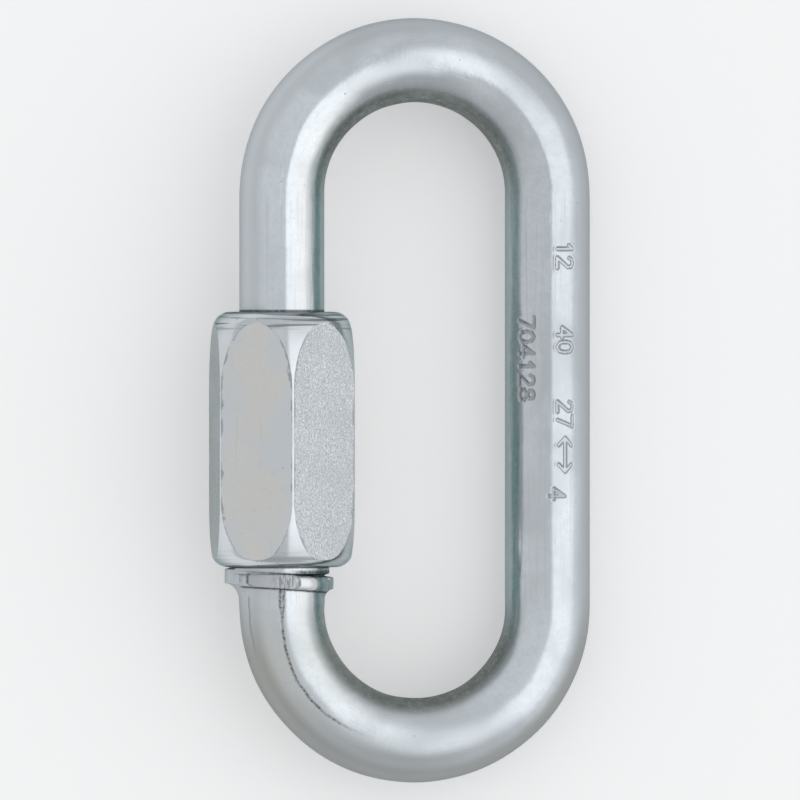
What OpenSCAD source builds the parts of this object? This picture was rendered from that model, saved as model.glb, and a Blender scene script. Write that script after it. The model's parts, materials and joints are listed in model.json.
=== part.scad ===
// Oval chain quick link: a bent round bar whose gate is bridged by a long hexagon sleeve nut.
// The link lies as it comes to rest: on one corner of the nut and on the leg opposite it.
// X runs across the link with the nut at -X, Y along its length, Z up. Millimetres.

/* [Bar] */
// Diameter of the round bar
bar_d = 10; // [7:0.25:14]
// Clear width of the eye between the two legs
eye_w = 21.5; // [19:0.5:40]

/* [Thread] */
// How much thicker the two threaded bar ends are than the bar, on the diameter
end_upset = 2; // [1.75:0.05:3]
// Pitch of the thread
thread_pitch = 1.75; // [1.25:0.05:2]
// Radial running clearance between the nut and the bar ends
thread_clearance = 0.06; // [0.03:0.01:0.1]
// Threaded length of the lower bar end, above the nut's seat
lower_thread_l = 5.5; // [4:0.25:8]
// Threaded length of the upper bar end
upper_thread_l = 12; // [8:0.25:12.5]
// Lead-in chamfer on the tip of each bar end
tip_chamfer = 0.9; // [0.4:0.1:1.5]
// Whole turns that the nut is screwed back to open the gate
open_turns = 10; // [7:1:14]

/* [Stop collar] */
// Plain bar between the lower bow and the fillets under the ears
collar_rise = 1.1; // [0.3:0.1:3]
// Radius of the fillet under each squeezed-out ear
ear_fillet = 1.3; // [0.8:0.1:1.8]
// Height of the ears at their tips
ear_h = 1.4; // [1:0.1:2.5]
// How far each ear stands out from the bar
ear_overhang = 1.4; // [1:0.1:2]
// Thickness of each ear, front to back
ear_t = 4.4; // [3:0.1:6]
// Height of the bead between the ears
bead_h = 1.7; // [1.2:0.1:2.5]
// How far the bead stands out from the bar
bead_overhang = 0.7; // [0.4:0.05:1]
// Radius of the bead's crown in section
bead_crown_r = 1.6; // [1.3:0.1:3]
// Depth of the faces that the pinching tool left on the front and back of the bead
pinch_depth = 0.55; // [0.3:0.05:0.65]
// Radius of those faces across the bead, flatter than the bead itself
pinch_face_r = 11; // [9:0.5:20]
// Turn of those faces about the bar, outwards from the normal of the link
pinch_clock = 19; // [-30:1:30]
// Lean of bead and ears, lower towards the eye
collar_lean = 3.5; // [0:0.5:5]
// Height of the seat ring's land above the bead
seat_h = 0.8; // [0.6:0.1:1.5]
// How far the seat ring stays inside the thread's nominal radius
seat_relief = 0.1; // [0:0.02:0.2]
// Gap left between the closed nut and its seat
seat_gap = 0.05; // [0.02:0.01:0.2]

/* [Sleeve nut] */
// Length of the nut
nut_l = 30; // [26:0.25:40]
// Thickness of the nut between the thread's nominal radius and each flat
nut_wall = 2; // [1.75:0.05:4]
// How much is turned off each corner of the hexagon, on the radius
corner_turned = 0.06; // [0.03:0.01:0.4]
// Length of the upper end that is turned to a barrel curve
upper_barrel_l = 9; // [6:0.1:11]
// How far that curve runs in below the flats at the end face, on the radius
upper_end_step = 0.45; // [0.1:0.05:0.6]
// Length of the lower end that is turned to a barrel curve
lower_barrel_l = 7.8; // [6:0.1:11]
// How far that curve runs in below the flats at the end face, on the radius
lower_end_step = 0.2; // [0.1:0.05:0.6]
// Radius of the rounded end rims
rim_r = 2; // [0.8:0.1:2.2]
// Depth of the countersink in the lower mouth of the bore
lower_sink = 0.2; // [0.1:0.02:0.25]
// How far the open nut runs up over the start of the upper bow
bow_entry = 3.65; // [0:0.05:3.8]
// Clearance between the open nut's bore and the bow
bow_clearance = 0.12; // [0.05:0.01:0.2]
// Turn of the nut's top corner from straight up, towards the bare leg
nut_clock = 8.7; // [-28:0.1:28]

/* [Hidden] */
$fn = 96;
overlap = 1;

bar_r = bar_d / 2;
leg_x = (eye_w + bar_d) / 2;

// The bar ends and the bore are drawn at the thread's mean diameter, which a metric thread has
// at this share of a pitch below its nominal diameter.
mean_drop = 0.6495;
thread_d = bar_d + end_upset;
thread_r = (thread_d - mean_drop * thread_pitch) / 2;
bore_r = thread_r + thread_clearance;

// Heights on the left leg, above the start of the lower bow.
ear_foot = collar_rise + ear_fillet;
ear_top = ear_foot + ear_h;
bead_middle = ear_top - bead_h / 2;
seat_r = thread_d / 2 - seat_relief;
seat_top = ear_top + seat_h;
seat_land_foot = seat_top - seat_h + (bar_r + bead_overhang) * sin(collar_lean) / 2;
lower_tip = seat_top + lower_thread_l;
nut_foot = seat_top + seat_gap;
nut_travel = open_turns * thread_pitch;
upper_tip = nut_foot + nut_travel;
upper_thread_end = upper_tip + upper_thread_l;

// The legs are as long as the opened nut needs, and the eye is that much longer than it is wide.
leg_l = upper_tip + nut_l - bow_entry;
lower_bow_y = -leg_l / 2;
upper_bow_y = leg_l / 2;

// The upper mouth is countersunk from where the open nut's bore would come too near the bow.
bow_inner_r = eye_w / 2;
bow_shift = max(bore_r - bar_r - bow_clearance, 0);
clear_entry = sqrt(pow(bow_inner_r, 2) - pow(bow_inner_r - bow_shift, 2));
upper_sink = max(bow_entry - clear_entry, lower_sink);

// The nut is a hexagon with its corners turned off. Its reach in any direction is set by the
// end of a flat that lies nearest to that direction.
nut_af = thread_d + 2 * nut_wall;
hexagon_r = nut_af / 2 / cos(30);
nut_corner_r = hexagon_r - corner_turned;
flat_half_angle = acos(nut_af / 2 / nut_corner_r);
function nut_reach(direction) = max([for (i = [0:5], side = [-1, 1])
    nut_corner_r * cos(nut_clock + 30 + 60 * i + side * flat_half_angle - direction)]);

// The link tips towards the bare leg until that leg and the nut touch the same plane.
nut_drop = nut_reach(180);
tilt = asin((nut_drop - bar_r) / (2 * leg_x));
lift = (nut_drop + bar_r) / 2;
centre_x = (nut_reach(270) - bar_r) / 2;

// Sets the link down on the plane Z = 0, with the middle of its box over the origin.
module lie_down() {
    translate([centre_x, 0, lift])
        rotate([0, tilt, 0])
            children();
}

// Turns a shape made along Z so that it stands on the left leg's axis, from the lower bow up.
module on_left_leg(height = 0) {
    translate([-leg_x, lower_bow_y + height, 0])
        rotate([-90, 0, 0])
            children();
}

module bow(y, turn) {
    translate([0, y, 0])
        rotate([0, 0, turn])
            rotate_extrude(angle = 180)
                translate([leg_x, 0])
                    circle(r = bar_r);
}

module right_leg() {
    translate([leg_x, lower_bow_y, 0])
        rotate([-90, 0, 0])
            cylinder(r = bar_r, h = leg_l);
}

// Lower bar end, from the bow to its tip: plain bar, seat ring and threaded stub.
module lower_end() {
    on_left_leg()
        rotate_extrude()
            polygon([
                [0, 0],
                [bar_r, 0],
                [bar_r, seat_land_foot - (seat_r - bar_r)],
                [seat_r, seat_land_foot],
                [seat_r, seat_top],
                [thread_r, seat_top],
                [thread_r, lower_tip - tip_chamfer],
                [thread_r - tip_chamfer, lower_tip],
                [0, lower_tip]
            ]);
}

// Upper bar end, from its tip to the bow: threaded, then stepping down to the plain bar.
module upper_end() {
    on_left_leg()
        rotate_extrude()
            polygon([
                [0, upper_tip],
                [thread_r - tip_chamfer, upper_tip],
                [thread_r, upper_tip + tip_chamfer],
                [thread_r, upper_thread_end],
                [bar_r, upper_thread_end + thread_r - bar_r],
                [bar_r, leg_l],
                [0, leg_l]
            ]);
}

// Swaged collar: a crowned bead pinched front and back, with the ears that the pinch squeezed out.
// Its shapes are drawn about the middle of the bead.
module collar() {
    on_left_leg(bead_middle)
        rotate([0, collar_lean, 0]) {
            intersection() {
                rotate_extrude()
                    bead_section();
                pinch_face(0);
                pinch_face(180);
            }
            intersection() {
                rotate_extrude()
                    ear_section();
                cube([4 * bar_d, ear_t, 2 * bar_d], center = true);
            }
        }
}

module bead_section() {
    bead_r = bar_r + bead_overhang;
    intersection() {
        translate([0, -bead_h / 2])
            square([bead_r, bead_h]);
        translate([bead_r - bead_crown_r, 0])
            circle(r = bead_crown_r);
    }
    translate([0, -bead_h / 2])
        square([bead_r - bead_crown_r, bead_h]);
}

// The fillet starts a little inside the bar, so that it meets the bar's face along a clear line.
module ear_section() {
    fillet_sink = ear_fillet / 10;
    fillet_x = bar_r - fillet_sink + ear_fillet;
    foot = ear_foot - bead_middle;
    difference() {
        translate([0, foot - ear_fillet])
            square([bar_r + ear_overhang, ear_h + ear_fillet]);
        translate([fillet_x, foot - ear_fillet])
            circle(r = ear_fillet);
        translate([fillet_x, foot - 2 * ear_fillet])
            square([bar_d, 2 * ear_fillet]);
    }
}

// What one jaw of the pinching tool leaves: everything behind a wide, slightly crowned face.
module pinch_face(side) {
    rotate([0, 0, side - pinch_clock])
        translate([0, bar_r + bead_overhang - pinch_depth - pinch_face_r, -bead_h])
            cylinder(r = pinch_face_r, h = 2 * bead_h);
}

module link_body() {
    color("silver")
        lie_down()
            union() {
                bow(lower_bow_y, 180);
                right_leg();
                bow(upper_bow_y, 0);
                upper_end();
                lower_end();
                collar();
            }
}

// Turned envelope of the nut: the corner diameter in the middle and a barrel curve at each end.
module nut_envelope() {
    rotate_extrude() {
        translate([0, lower_barrel_l])
            square([nut_corner_r, nut_l - lower_barrel_l - upper_barrel_l]);
        barrel_end(lower_barrel_l, lower_end_step);
        translate([0, nut_l])
            mirror([0, 1])
                barrel_end(upper_barrel_l, upper_end_step);
    }
}

// Half section of one end, with the end face at zero. The barrel arc leaves the corner diameter
// at a tangent, and the rim is a smaller arc that touches both it and the end face.
module barrel_end(length, end_step) {
    drop = nut_corner_r - (nut_af / 2 - end_step);
    barrel_r = (pow(length, 2) + pow(drop, 2)) / (2 * drop);
    barrel_x = nut_corner_r - barrel_r;
    rim_x = barrel_x + sqrt(pow(barrel_r - rim_r, 2) - pow(length - rim_r, 2));
    rim_turn = asin((length - rim_r) / (barrel_r - rim_r));
    difference() {
        intersection() {
            square([nut_corner_r, length]);
            translate([barrel_x, length])
                circle(r = barrel_r);
        }
        difference() {
            translate([rim_x, rim_r])
                polygon([
                    [0, 0],
                    [0, -rim_r - overlap],
                    [2 * rim_r, -rim_r - overlap],
                    [2 * rim_r * cos(rim_turn), -2 * rim_r * sin(rim_turn)]
                ]);
            translate([rim_x, rim_r])
                circle(r = rim_r);
        }
    }
}

module nut_bore() {
    translate([0, 0, -overlap])
        cylinder(r = bore_r, h = nut_l + 2 * overlap);
    translate([0, 0, nut_l - upper_sink])
        cylinder(r1 = bore_r, r2 = bore_r + upper_sink + overlap, h = upper_sink + overlap);
    translate([0, 0, -overlap])
        cylinder(r1 = bore_r + lower_sink + overlap, r2 = bore_r, h = lower_sink + overlap);
}

module sleeve_nut() {
    color("gainsboro")
        lie_down()
            on_left_leg(nut_foot)
                difference() {
                    intersection() {
                        rotate([0, 0, nut_clock - tilt - 90])
                            cylinder(r = hexagon_r, h = nut_l, $fn = 6);
                        nut_envelope();
                    }
                    nut_bore();
                }
}

link_body();
sleeve_nut();
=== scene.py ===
import json
from math import acos, asin, atan2, ceil, cos, degrees, exp, floor, hypot, pi, radians, sin, sqrt

import bmesh
import bpy
from mathutils import Matrix, Vector, noise


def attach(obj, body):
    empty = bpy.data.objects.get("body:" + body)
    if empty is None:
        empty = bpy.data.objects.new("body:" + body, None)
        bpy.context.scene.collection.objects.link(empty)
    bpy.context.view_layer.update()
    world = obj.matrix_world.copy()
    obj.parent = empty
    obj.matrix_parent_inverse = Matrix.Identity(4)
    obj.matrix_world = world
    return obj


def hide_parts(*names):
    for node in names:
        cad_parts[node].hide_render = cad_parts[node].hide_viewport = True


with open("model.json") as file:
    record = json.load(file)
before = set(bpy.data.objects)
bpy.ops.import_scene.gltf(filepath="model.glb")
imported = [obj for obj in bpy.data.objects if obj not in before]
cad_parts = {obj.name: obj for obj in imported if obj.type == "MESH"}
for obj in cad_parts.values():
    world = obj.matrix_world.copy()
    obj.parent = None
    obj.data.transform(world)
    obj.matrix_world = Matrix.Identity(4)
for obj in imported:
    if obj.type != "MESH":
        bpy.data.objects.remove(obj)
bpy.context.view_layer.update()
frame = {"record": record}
mm = 0.001
near = {                        # millimetres within which points count as one, or as on a level
    "level": 0.002,
    "ringWeld": 1e-3,
    "weld": 1e-4,
    "cut": 1e-5,
}
noiseSlice = {"scuff": 4, "lumps": 2, "seamWidth": 5, "seamDepth": 9}     # a noise of its own for each

# The pieces are modelled in millimetres in the link's own plane, with the legs along Y,
# and are then laid down in the frame as the link comes to rest.
bar = {
    "radius": 5.0,
    "legX": 15.75,              # leg axes from the middle of the eye
    "legL": 48.5,               # straight legs between the bows
    "gateAt": 16.0,             # height above the lower bow that parts the leg's two ends
    "around": ((-55, 35, 80), (35, 125, 30), (125, 215, 12), (215, 305, 30)),   # degrees from, to, steps
    "legStep": 1.0,
    "bowSteps": 64,
    "stampRun": (19.4, -12.6),  # stretch of the bare leg that has stamps
    "stampStep": 0.13,
    "seamTurn": 96,             # degrees of the lower bow before the seam starts
    "seamStep": 0.26,
    "collarRun": (0.7, 4.6),    # heights above the lower bow that the collar takes up
    "collarStep": 0.07,
    "mouthRun": 0.8,            # stretch that shows a painted shadow ring at the sleeve's mouth
    "mouthStep": 0.08,
    # painted shadow ring just above the sleeve: gone above the first height, full below the second
    "greaseRing": (34.95, 34.75),
    "sweepSteps": 40,           # rings swept at a time
    "creaseAngle": 38,
}
upperBowY = bar["legL"] / 2
lowerBowY = -bar["legL"] / 2

mounts = {m["name"]: m for m in frame["record"]["mounts"]}
eyeMiddle = (Vector(mounts["upper_bow"]["pos_m"]) + Vector(mounts["lower_bow"]["pos_m"])) / 2
tilt = asin((eyeMiddle.z / mm - bar["radius"]) / bar["legX"])
layDown = Matrix.Translation(eyeMiddle) @ Matrix.Rotation(tilt, 4, "Y") @ Matrix.Scale(mm, 4)
onLeftLeg = Matrix.Translation((-bar["legX"], lowerBowY, 0)) @ Matrix.Rotation(-pi / 2, 4, "X")


def clamp(value, low=0.0, high=1.0):
    return max(low, min(high, value))


def ease(low, high, value):
    t = clamp((value - low) / (high - low))
    return t * t * (3 - 2 * t)


def bell(off, width):
    return exp(-(off / width) ** 2)


def softMax(a, b, blend):
    return (a + b + sqrt((a - b) ** 2 + blend ** 2)) / 2


def softMin(a, b, blend):
    return -softMax(-a, -b, blend)


def boundaryAt(bm, y):
    level = near["level"]
    return [e for e in bm.edges if e.is_boundary and all(abs(v.co.y - y) < level for v in e.verts)]


def addMesh(bm, other):
    scratch = bpy.data.meshes.new("scratch")
    other.to_mesh(scratch)
    other.free()
    bm.from_mesh(scratch)
    bpy.data.meshes.remove(scratch)


def finishPiece(bm, name, creaseAngle, materials):
    bmesh.ops.recalc_face_normals(bm, faces=bm.faces)
    for face in bm.faces:
        face.smooth = True
    for edge in bm.edges:
        if len(edge.link_faces) == 2 and edge.calc_face_angle() > radians(creaseAngle):
            edge.smooth = False
    mesh = bpy.data.meshes.new(name)
    bm.to_mesh(mesh)
    bm.free()
    mesh.transform(layDown)
    piece = bpy.data.objects.new(name, mesh)
    bpy.context.scene.collection.objects.link(piece)
    for material in materials:
        mesh.materials.append(material)
    triangles = sum(len(p.vertices) - 2 for p in mesh.polygons)
    print(name, len(mesh.vertices), "vertices", triangles, "triangles")
    return piece


# Thread on the two bar ends and in the sleeve, at heights above the lower bow
thread = {
    "pitch": 1.75,
    "crestR": 5.93,
    "rootR": 4.95,
    "rootTo": 1 / 4,            # shares of a pitch where the root ends, and the crest starts and ends
    "crestFrom": 9 / 16,
    "crestTo": 11 / 16,
    "play": 0.09,               # radial play between the sleeve and the bar ends
    "turnSteps": 64,
    "rootSteps": 2,
    "flankSteps": 4,
    "crestSteps": 2,
}


def threadProfile(low, high, grow):
    # Points of the thread as (radius, height), with spare turns at both ends
    t = thread
    corners = ((t["rootR"], 0), (t["rootR"], t["rootTo"]), (t["crestR"], t["crestFrom"]),
               (t["crestR"], t["crestTo"]), (t["rootR"], 1))
    splits = (t["rootSteps"], t["flankSteps"], t["crestSteps"], t["flankSteps"])
    points = []
    for turn in range(floor(low / t["pitch"]) - 2, ceil(high / t["pitch"]) + 1):
        for (r0, z0), (r1, z1), count in zip(corners, corners[1:], splits):
            for k in range(count):
                share = k / count
                height = (turn + z0 + (z1 - z0) * share) * t["pitch"]
                points.append((r0 + (r1 - r0) * share + grow, height))
    return points


def threadWall(low, high, grow, least, most):
    # One turn of a long profile, stepped along by one pitch, closes on itself like a rolled thread
    bm = bmesh.new()
    profile = [bm.verts.new((r, 0, z)) for r, z in threadProfile(low, high, grow)]
    edges = [bm.edges.new(pair) for pair in zip(profile, profile[1:])]
    bmesh.ops.spin(bm, geom=profile + edges, axis=(0, 0, 1), angle=2 * pi, steps=thread["turnSteps"],
                   dvec=(0, 0, thread["pitch"] / thread["turnSteps"]))
    bmesh.ops.remove_doubles(bm, verts=bm.verts, dist=near["weld"])
    for level, side in ((low, -1), (high, 1)):
        bmesh.ops.bisect_plane(bm, geom=bm.verts[:] + bm.edges[:] + bm.faces[:], dist=near["cut"],
                               plane_co=(0, 0, level), plane_no=(0, 0, side), clear_outer=True)
    for v in bm.verts:
        r = hypot(v.co.x, v.co.y)
        turned = clamp(r, least(v.co.z), most(v.co.z)) / r
        v.co.x *= turned
        v.co.y *= turned
    bmesh.ops.transform(bm, matrix=onLeftLeg, verts=bm.verts)
    return bm


# Stop collar: bead pinched front and back, ears squeezed out by the pinch, and the sleeve's seat.
# A turn's sine is 1 on the outside of the leg and -1 towards the eye.
collar = {
    "beadMiddle": 2.95,
    "beadH": 1.7,
    "beadR": 5.7,
    "crownR": 1.6,
    "lean": 3.5,
    "pinchTurn": 19,            # pinched faces are turned outwards from the front and the back
    "pinchReach": 35,
    "pinchR": 5.16,
    "lensEdge": (1.04, 0.9),    # outline of a pinched face, in shares of its half width
    "lensBulge": 0.72,
    "lensWall": (1.08, 0.94),   # and of the bead's half height
    "scuffFrom": (0.15, -0.2),  # scuffed stretch of a pinched face, in shares of its half width
    "scuffTo": (-1.0, -0.75),
    "scuffDepth": 0.04,
    "scuffGrain": ((38, 7), (-6, 3)),   # steps through the noise by turn and by height
    "earR": 6.4,
    "earT": 4.4,
    "leastCos": 0.05,           # keeps the ears' flat sides finite straight outwards
    "earRound": 0.7,
    "earFoot": 2.4,
    "earH": 1.4,
    "outerSide": (0.3, 0.8),    # sine of the turn where the outer ear starts and is whole
    "outerEarRise": 0.3,        # the outer ear was squeezed up beside the seat
    "earFillet": (1.3, 0.9),    # under both ears, and what the outer one has besides
    "lumps": 0.03,
    "lumpGrain": (5, 1.5),
    "seatR": 5.9,
    "seatFoot": (3.70, 3.93),
    "seatTop": 4.6,
    "offset": 0.32,             # seat and ears stand a little outwards of the leg
    "soften": 0.05,
    "wall": 7.0,                # steepness of the bead's and the ears' side walls
    # painted shade in the crevices under and over the bead
    "creviceH": 0.11,
    "creviceAt": (0.08, 0.1),   # below and above the bead
    "earClear": (5.2, 5.8),     # radius of the ears over which the lower crevice ends
    "upperClear": (1.15, 0.1),  # sine of the turn over which the upper crevice is full
    "seatShade": 0.95,          # painted shade under the seat, on its side towards the eye
    "shadeTop": (4.45, 4.1),
    "shadeSide": (0.05, -0.3),
    "shadeFoot": (-0.1, 0.05),  # from the bead's upper edge
    "sleeveLine": 0.07,         # height of the painted shadow line under the sleeve
    "outlineGrime": 0.85,       # painted shade round the pinched faces
}


def pinchOffset(angle):
    nearest = min((angle - radians(collar["pinchTurn"]) - k * pi for k in (-1, 0, 1)), key=abs)
    return degrees(nearest) / collar["pinchReach"]


def collarGrime(angle, height, tall, ear, lens):
    # Painted shade under and over the bead, under the sleeve and round the pinched faces
    c = collar
    halfH = c["beadH"] / 2
    below, beyond = c["creviceAt"]
    under = bell(tall + halfH + below, c["creviceH"]) * (1 - ease(*c["earClear"], ear))
    above = bell(tall - halfH - beyond, c["creviceH"]) * ease(*c["upperClear"], sin(angle))
    shade = c["seatShade"] * ease(*c["shadeTop"], height) * ease(*c["shadeSide"], sin(angle))
    above = max(above, shade * ease(*[halfH + d for d in c["shadeFoot"]], tall))
    atSleeve = bell(height - c["seatTop"], c["sleeveLine"])
    outline = 4 * lens * (1 - lens)             # highest half way up the edge
    return clamp(max(under, above, atSleeve, c["outlineGrime"] * outline))


def collarForm(angle, height):
    # Radius of the collar, how far each spot is pinched flat or scuffed, and its painted shade in the
    # crevices, under the sleeve and round the pinched faces
    c = collar
    lean = radians(c["lean"])
    halfH = c["beadH"] / 2
    outer = ease(*c["outerSide"], sin(angle))
    shift = c["offset"] * sin(angle)
    tall = (height - c["beadMiddle"]) * cos(lean) - c["beadR"] * sin(angle) * sin(lean)
    crown = c["beadR"] - c["crownR"] + sqrt(max(c["crownR"] ** 2 - tall ** 2, 0))
    wall = c["wall"] * max(abs(tall) - halfH, 0)
    pinch = pinchOffset(angle)
    lens = ease(*c["lensEdge"], hypot(pinch, c["lensBulge"] * (tall / halfH) ** 2))
    lens *= ease(*c["lensWall"], abs(tall) / halfH)
    scuff = lens * ease(*c["scuffFrom"], pinch) * ease(*c["scuffTo"], pinch)
    grain = [angle * byTurn + height * byHeight for byTurn, byHeight in c["scuffGrain"]]
    flat = c["pinchR"] + (c["beadR"] - c["pinchR"]) * pinch ** 2
    flat += c["scuffDepth"] * scuff * noise.noise(Vector((*grain, noiseSlice["scuff"])))
    bead = softMin(crown - wall, flat - wall, c["soften"])
    rise = tall + c["beadMiddle"] - c["earFoot"]
    ear = softMin(c["earR"] + shift, c["earT"] / 2 / max(abs(cos(angle)), c["leastCos"]), c["earRound"])
    byTurn, byHeight = c["lumpGrain"]
    lumps = Vector((angle * byTurn, height * byHeight, noiseSlice["lumps"]))
    ear += c["lumps"] * noise.noise(lumps)
    ear -= c["wall"] * max(rise - c["earH"] - c["outerEarRise"] * outer, 0)
    if rise < 0:
        fillet = 1 + rise / (c["earFillet"][0] + c["earFillet"][1] * outer)
        reach = c["earR"] + shift
        ear = min(ear, reach - (reach - bar["radius"]) * sqrt(1 - fillet ** 2)) if fillet > 0 else 0
    seat = bar["radius"] + (c["seatR"] + shift - bar["radius"]) * ease(*c["seatFoot"], height)
    radius = bar["radius"]
    for form in (bead, ear, seat):
        radius = softMax(radius, form, c["soften"])
    return radius, lens, scuff, collarGrime(angle, height, tall, ear, lens)


# Stamped figures: plain numbers and a load arrow, struck along the bare leg
stamps = {
    "depth": 0.14,
    "halfWidth": 0.2,
    "wall": (1.4, 0.5),         # share of the half width where a stroke's wall starts and ends
    # share of the painted shade that a stroke's floor gets
    "floorStain": 0.2,
    "lip": 0.03,
    "lipAt": (1.75, 0.42),      # half widths out to the lip's crest, and its own width
    "reach": 2.6,               # half widths that a stroke's lip reaches
    "halfTurn": 1.2,            # radians from the front that the stamps keep within
    "high": 2.0,
    "wide": 1.25,
    "gap": 0.45,
    "rows": (                   # figures, place along the leg, degrees outwards from the front, depth share
        ("12", 17.0, 17, 1.0),
        ("40", 7.1, 17, 1.0),
        ("27", -1.6, 17, 0.9),
        ("arrow", -6.4, 17, 1.0),
        ("4", -11.0, 5, 0.8),
        ("704128", 4.9, -38, 0.75),
    ),
    "strokes": {                # corners in a box of one by one, tops of the figures at y = 1
        "0": (((0.5, 0), (0.9, 0.16), (1, 0.5), (0.9, 0.84), (0.5, 1), (0.1, 0.84), (0, 0.5),
               (0.1, 0.16), (0.5, 0)),),
        "1": (((0.2, 0.74), (0.55, 1), (0.55, 0)),),
        "2": (((0.05, 0.76), (0.2, 0.95), (0.5, 1), (0.85, 0.92), (0.92, 0.68), (0, 0), (1, 0)),),
        "4": (((0.72, 0), (0.72, 1), (0, 0.3), (1, 0.3)),),
        "7": (((0, 1), (1, 1), (0.38, 0)),),
        "8": (((0.5, 0.55), (0.12, 0.7), (0.14, 0.92), (0.5, 1), (0.86, 0.92), (0.88, 0.7), (0.5, 0.55),
               (0.04, 0.36), (0.06, 0.1), (0.5, 0), (0.94, 0.1), (0.96, 0.36), (0.5, 0.55)),),
        "arrow": (((-1.1, 0.5), (2.1, 0.5)), ((-0.4, 0.92), (-1.1, 0.5), (-0.4, 0.08)),
                  ((1.4, 0.92), (2.1, 0.5), (1.4, 0.08))),
    },
}


def stampLines():
    # Straight strokes as (y, arc) ends on the unrolled bar, each with its depth share
    lines = []
    advance = stamps["wide"] + stamps["gap"]
    for figures, y, turn, share in stamps["rows"]:
        names = [figures] if figures in stamps["strokes"] else list(figures)
        arc = radians(turn) * bar["radius"]
        for k, name in enumerate(names):
            middle = y - (k - (len(names) - 1) / 2) * advance
            for stroke in stamps["strokes"][name]:
                points = [Vector((middle - (px - 0.5) * stamps["wide"], arc + (py - 0.5) * stamps["high"]))
                          for px, py in stroke]
                lines += [(a, b, share) for a, b in zip(points, points[1:])]
    return lines


def stampCut(lines, y, arc):
    here = Vector((y, arc))
    reach = stamps["halfWidth"] * stamps["reach"]
    lipAt, lipWidth = stamps["lipAt"]
    cut = 0.0
    lip = 0.0
    for a, b, share in lines:
        if not min(a.x, b.x) - reach < y < max(a.x, b.x) + reach:
            continue
        if not min(a.y, b.y) - reach < arc < max(a.y, b.y) + reach:
            continue
        stroke = b - a
        t = clamp((here - a).dot(stroke) / stroke.length_squared)
        away = (here - a - stroke * t).length / stamps["halfWidth"]
        cut = max(cut, share * ease(*stamps["wall"], away))
        lip = max(lip, share * bell(away - lipAt, lipWidth))
    return cut, lip * (1 - cut)


# Forging seam along the crown of the lower bow, below the collar
seam = {
    "turn": 7.0,                # degrees outwards from the front
    "bulge": 6.0,               # degrees more half way down, and where round the bow that comes and goes
    "bulgeFrom": (106, 140),
    "bulgeTo": (180, 148),
    "halfWidth": 0.15,
    "widthWander": (0.9, 0.5, 2.3),     # share of the half width, how much it varies, and how often
    "depth": 0.022,
    "broken": (0.95, 0.6, 1.3),         # the same of the depth
    "twinGap": 0.2,             # a double line just under the collar
    "twinHeight": (-1.6, 0.6),
    "fadeTurn": (108, 136),     # degrees round the lower bow where it fades in
    "topHeight": (2.4, 2.0),
    "lineWidth": (0.25, 0.07),  # of the dark line in the groove
    "lineGrain": {"scale": 1.0, "detail": 4, "stretch": (450, 0, 0)},
    "lineWander": 0.4,
}


def seamCut(run, arc, height):
    turned = degrees((run - bar["legL"] / 2) / bar["legX"])
    fade = ease(*seam["fadeTurn"], turned) * ease(*seam["topHeight"], height)
    bulge = seam["bulge"] * ease(*seam["bulgeFrom"], turned) * ease(*seam["bulgeTo"], turned)
    off = arc - radians(seam["turn"] + bulge) * bar["radius"]
    twin = seam["twinGap"] * ease(*seam["twinHeight"], height)
    share, varies, often = seam["widthWander"]
    uneven = noise.noise(Vector((run * often, noiseSlice["seamWidth"], 0)))
    wide = seam["halfWidth"] * (share + varies * uneven)
    away = min(abs(off - twin), abs(off + twin))
    share, varies, often = seam["broken"]
    uneven = noise.noise(Vector((run * often, noiseSlice["seamDepth"], 0)))
    return fade * clamp(share + varies * uneven) * bell(away, wide)


# Shallow hollows that the bending left on the bows
hollows = {
    "depth": 0.09,
    "fill": (0.5, 0.7),         # share of the depth, and how much it varies
    "along": 5.0,
    "around": 3.2,
    "fade": (-2.5, 5.0),        # distance past the end of a leg where they start and are full
}


def hollow(co, run, angle):
    past = ease(*hollows["fade"], abs(co.y) - bar["legL"] / 2)
    wide = bar["radius"] / hollows["around"]
    lumps = noise.noise(Vector((run / hollows["along"], sin(angle) * wide, cos(angle) * wide)))
    share, varies = hollows["fill"]
    return hollows["depth"] * past * clamp(share + varies * lumps)


def barPlace(co):
    # Centre of the bar's section, the run along the bar, and the turn round it from the front outwards
    legX = bar["legX"]
    halfLeg = bar["legL"] / 2
    outwards = Vector((1 if co.x > 0 else -1, 0, 0))
    centre = Vector((legX * outwards.x, co.y, 0))
    if co.y > upperBowY or co.y < lowerBowY:
        hub = Vector((0, upperBowY if co.y > 0 else lowerBowY, 0))
        outwards = Vector((co.x, co.y - hub.y, 0)).normalized()
        centre = hub + outwards * legX
        side = -1 if co.y > 0 else 1
        run = side * (halfLeg + legX * atan2(abs(outwards.y), outwards.x))
    elif co.x > 0:
        run = -co.y
    elif co.y < lowerBowY + bar["gateAt"]:
        run = halfLeg + pi * legX + co.y - lowerBowY
    else:
        run = -halfLeg - pi * legX - upperBowY + co.y
    return centre, run, atan2((co - centre).dot(outwards), co.z)


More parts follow.
